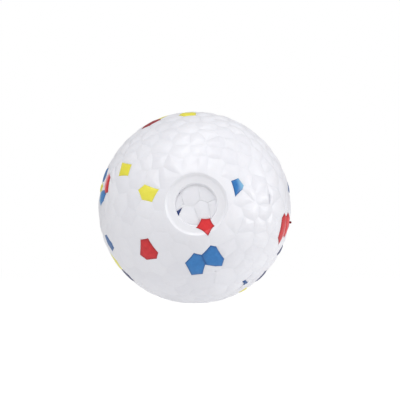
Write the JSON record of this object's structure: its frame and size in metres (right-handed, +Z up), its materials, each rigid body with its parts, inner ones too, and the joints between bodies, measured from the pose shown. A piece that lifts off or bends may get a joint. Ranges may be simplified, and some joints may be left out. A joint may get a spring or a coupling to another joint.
{
  "type": "dog toy ball",
  "caption": "Round dog toy ball moulded from welded expanded elastomer beads, white with scattered red, blue and yellow ones, and a stepped round filling-port recess.",
  "frame": {"origin": "centre of the ball", "axes": "+Z up, with the flat bead that the ball stands on at -Z; -Y out of the filling-port recess, towards the front; +X to the right seen from the front"},
  "size_m": [0.065, 0.0634, 0.0646],
  "materials": {
    "white_foam": "satin moulded bead foam",
    "red_foam": "satin moulded bead foam",
    "blue_foam": "satin moulded bead foam",
    "yellow_foam": "satin moulded bead foam"
  },
  "bodies": {
    "root": {"red_bead_port_edge": "red_foam", "blue_bead_port_corner": "blue_foam", "blue_bead_low_pair_left": "blue_foam", "blue_bead_low_pair_right": "blue_foam", "red_bead_left_low": "red_foam", "yellow_bead_left_middle": "yellow_foam", "yellow_bead_left_high": "yellow_foam", "blue_bead_right_high": "blue_foam", "blue_bead_right_low_small": "blue_foam", "red_bead_right_middle": "red_foam", "red_bead_right_rim": "red_foam", "yellow_bead_top": "yellow_foam", "red_bead_top_left": "red_foam", "yellow_bead_top_left": "yellow_foam", "blue_bead_left_rim_high": "blue_foam", "red_bead_left_rim": "red_foam", "blue_bead_left_rim_low": "blue_foam", "yellow_bead_left_rim": "yellow_foam", "blue_bead_left_low": "blue_foam", "yellow_bead_left_low": "yellow_foam", "blue_bead_bottom_left": "blue_foam", "blue_bead_right_rim_low": "blue_foam", "blue_bead_bottom_right": "blue_foam", "yellow_bead_bottom_right": "yellow_foam", "blue_bead_right_rim_high": "blue_foam", "red_bead_back_right_high": "red_foam", "yellow_bead_back_right_low": "yellow_foam", "blue_bead_back_right_top": "blue_foam", "blue_bead_back_right_middle": "blue_foam", "yellow_bead_back_right_middle": "yellow_foam", "red_bead_back_right_low": "red_foam", "yellow_bead_back_bottom_right": "yellow_foam", "yellow_bead_back_top": "yellow_foam", "blue_bead_back_high": "blue_foam", "red_bead_back_high": "red_foam", "blue_bead_back_low": "blue_foam", "yellow_bead_back_middle": "yellow_foam", "red_bead_back_middle": "red_foam", "red_bead_back_bottom": "red_foam", "blue_bead_back_left_high": "blue_foam", "blue_bead_back_left_pair": "blue_foam", "yellow_bead_back_left_low": "yellow_foam", "red_bead_back_left_low": "red_foam", "blue_bead_back_left_middle": "blue_foam", "yellow_bead_back_left_high": "yellow_foam", "red_bead_back_left_top": "red_foam", "blue_bead_back_left_bottom": "blue_foam", "port_bead_upper_left": "white_foam", "port_bead_upper_right": "white_foam", "port_bead_right": "white_foam", "port_bead_centre": "white_foam", "port_bead_lower_left": "white_foam", "port_bead_left": "white_foam", "white_bead_mass": "white_foam"}
  },
  "joints": []
}
